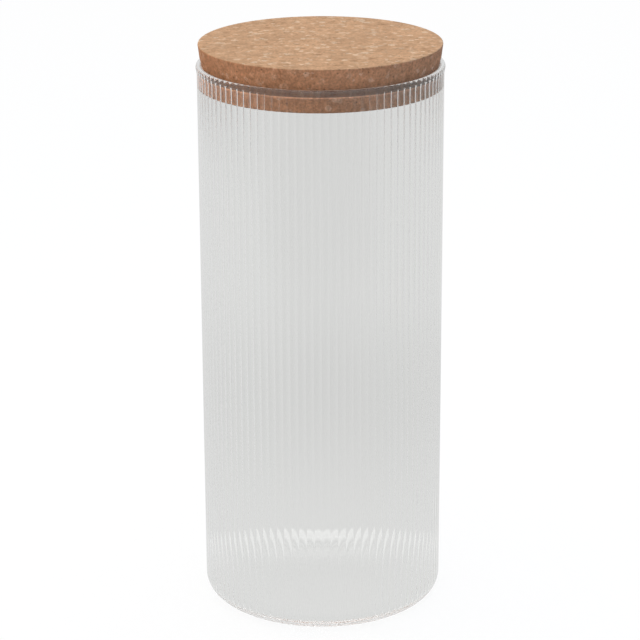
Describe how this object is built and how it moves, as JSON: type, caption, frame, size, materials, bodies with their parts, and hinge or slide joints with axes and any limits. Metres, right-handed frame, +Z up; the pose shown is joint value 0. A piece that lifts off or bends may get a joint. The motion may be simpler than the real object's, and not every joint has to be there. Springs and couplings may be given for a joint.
{
  "type": "storage jar",
  "caption": "Tall cylindrical clear glass storage jar, reeded inside its wall, with a flared push-in cork lid.",
  "frame": {"origin": "centre of the jar's foot, on the surface that it stands on", "axes": "+Z up along the jar's axis, through the lid; the jar is round, so +X and +Y are any two level directions"},
  "size_m": [0.121, 0.121, 0.286],
  "materials": {
    "clear_glass": "clear pressed soda-lime glass with a faint grey-green tint, smooth outside and finely reeded inside, fire-polished rim",
    "cork": "sanded agglomerated cork, unsealed, of pale granules one to four millimetres across with darker bark flecks"
  },
  "bodies": {
    "jar": {"glass_jar": "clear_glass"},
    "lid": {"cork_lid": "cork"}
  },
  "joints": [
    {"name": "lid_lift", "type": "slide", "parent": "jar", "child": "lid", "axis": [0, 0, 1], "range_m": [0, 0.08]}
  ]
}
